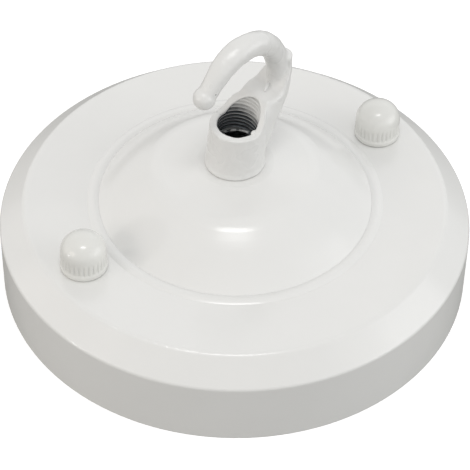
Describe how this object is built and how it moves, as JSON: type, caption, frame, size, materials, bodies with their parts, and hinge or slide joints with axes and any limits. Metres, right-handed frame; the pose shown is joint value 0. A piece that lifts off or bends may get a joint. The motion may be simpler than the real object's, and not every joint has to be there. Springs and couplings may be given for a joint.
{
  "type": "ceiling hook",
  "caption": "Round ceiling plate with a central cast hook for hanging a lamp, fixed by dome nuts to a hidden strap, with a threaded cable passage.",
  "frame": {"origin": "centre of the plate's rim, in the plane of the ceiling", "axes": "+Z away from the ceiling, towards the hook; the two dome nuts lie on the X axis"},
  "size_m": [0.107, 0.107, 0.066],
  "materials": {
    "plate_paint": "smooth white paint, semi-gloss",
    "hook_paint": "white paint over a slightly uneven casting",
    "nut_paint": "white paint, semi-gloss",
    "zinc": "zinc plated, satin"
  },
  "bodies": {
    "root": {"ceiling_plate": "plate_paint", "hook": "hook_paint", "left_dome_nut": "nut_paint", "right_dome_nut": "nut_paint", "threaded_tube": "zinc", "lock_washer": "zinc", "tube_nut": "zinc", "mounting_strap": "zinc", "left_plate_screw": "zinc", "right_plate_screw": "zinc", "left_strap_nut": "zinc", "right_strap_nut": "zinc"}
  },
  "joints": []
}
